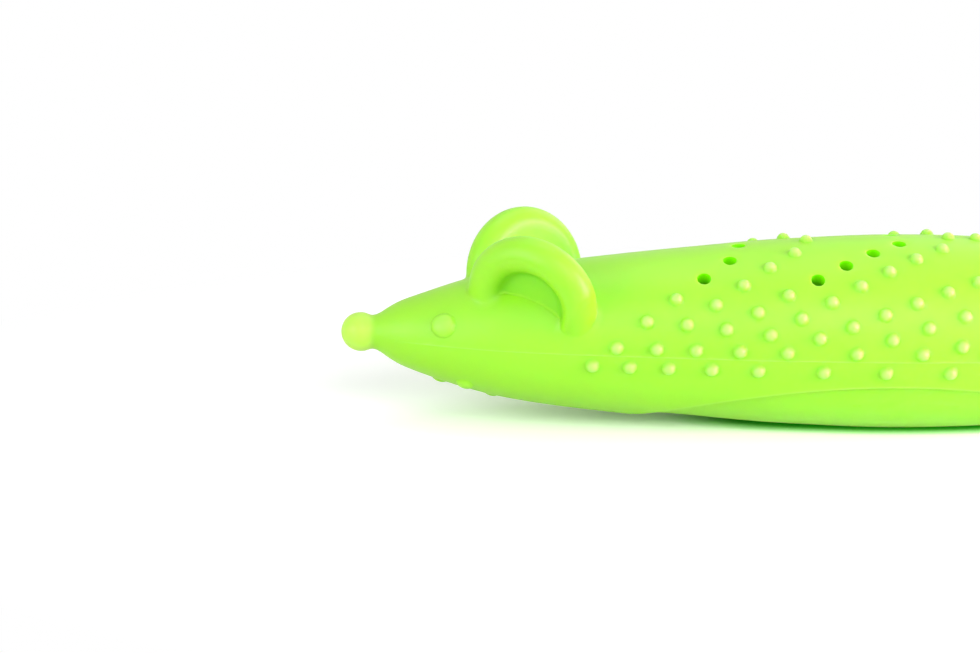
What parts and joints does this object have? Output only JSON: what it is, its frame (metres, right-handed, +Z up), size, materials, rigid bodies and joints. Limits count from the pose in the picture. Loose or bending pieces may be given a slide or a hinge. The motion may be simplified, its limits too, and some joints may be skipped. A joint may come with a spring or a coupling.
{
  "type": "catnip mouse toy",
  "caption": "Hollow silicone mouse with ball nose, cupped ears, lines of small bumps, vent holes, a lens-shaped belly lid that holds dried catnip, and a flexible tail.",
  "frame": {"origin": "on the surface that the belly rests on, under the middle of the overall length", "axes": "+X from the nose to the tail, +Y to the mouse's right side, +Z up"},
  "size_m": [0.212, 0.0368, 0.0358],
  "materials": {
    "body_silicone": "satin translucent",
    "lid_silicone": "satin translucent",
    "tail_silicone": "satin translucent",
    "dried_catnip": "matt crumbled leaf"
  },
  "bodies": {
    "shell": {"body_shell": "body_silicone"},
    "lid": {"belly_lid": "lid_silicone", "catnip_fill": "dried_catnip"},
    "tail": {"tail": "tail_silicone"}
  },
  "joints": [
    {"name": "lid_pull", "type": "slide", "parent": "shell", "child": "lid", "axis": [0, 0, -1], "range_m": [0, 0.03]},
    {"name": "tail_wag", "type": "hinge", "parent": "shell", "child": "tail", "pos_m": [0.046, 0, 0.0158], "axis": [0, 0, 1], "range_deg": [-45, 45], "stiffness_Nm_per_rad": 0.004}
  ]
}
